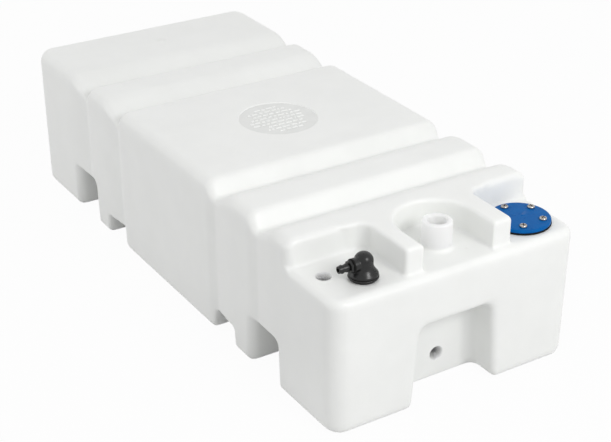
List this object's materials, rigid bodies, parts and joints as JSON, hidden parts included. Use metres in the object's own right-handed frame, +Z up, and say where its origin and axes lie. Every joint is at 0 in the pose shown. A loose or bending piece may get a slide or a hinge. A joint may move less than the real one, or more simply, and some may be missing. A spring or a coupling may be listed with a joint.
{
  "type": "fresh water tank",
  "caption": "Flat rotationally moulded fresh water tank with cross grooves, strap tunnels, filler spigot, screwed inspection cover, tapped outlet and swivelling vent elbow.",
  "frame": {"origin": "middle of the tank on the surface that it stands on", "axes": "+Y along the tank away from the filler end, +X to the right seen from the filler end, +Z up"},
  "size_m": [0.3456, 0.8, 0.208],
  "materials": {
    "tank": "natural rotomoulded polyethylene, soft satin",
    "cover": "injection-moulded polypropylene, blue",
    "vent": "moulded glass-filled nylon, black, satin",
    "seal": "matt black rubber",
    "screw": "stainless steel",
    "insert": "turned brass",
    "clip": "spring steel"
  },
  "bodies": {
    "tank": {"tank_body": "tank", "cover_insert_1": "insert", "cover_insert_2": "insert", "cover_insert_3": "insert", "cover_insert_4": "insert", "cover_insert_5": "insert", "vent_washer": "seal", "vent_base": "vent", "vent_o_ring": "seal", "vent_clip": "clip"},
    "elbow": {"vent_elbow": "vent", "tail_washer": "seal", "vent_hose_tail": "vent"},
    "cover": {"inspection_cover": "cover", "cover_gasket": "seal", "cover_screw_1": "screw", "cover_screw_2": "screw", "cover_screw_3": "screw", "cover_screw_4": "screw", "cover_screw_5": "screw"}
  },
  "joints": [
    {"name": "elbow_swivel", "type": "hinge", "parent": "tank", "child": "elbow", "pos_m": [-0.11, -0.364, 0.179], "axis": [0, 0, 1], "continuous": true},
    {"name": "cover_lift", "type": "slide", "parent": "tank", "child": "cover", "axis": [0, 0, 1], "range_m": [0, 0.06]}
  ]
}
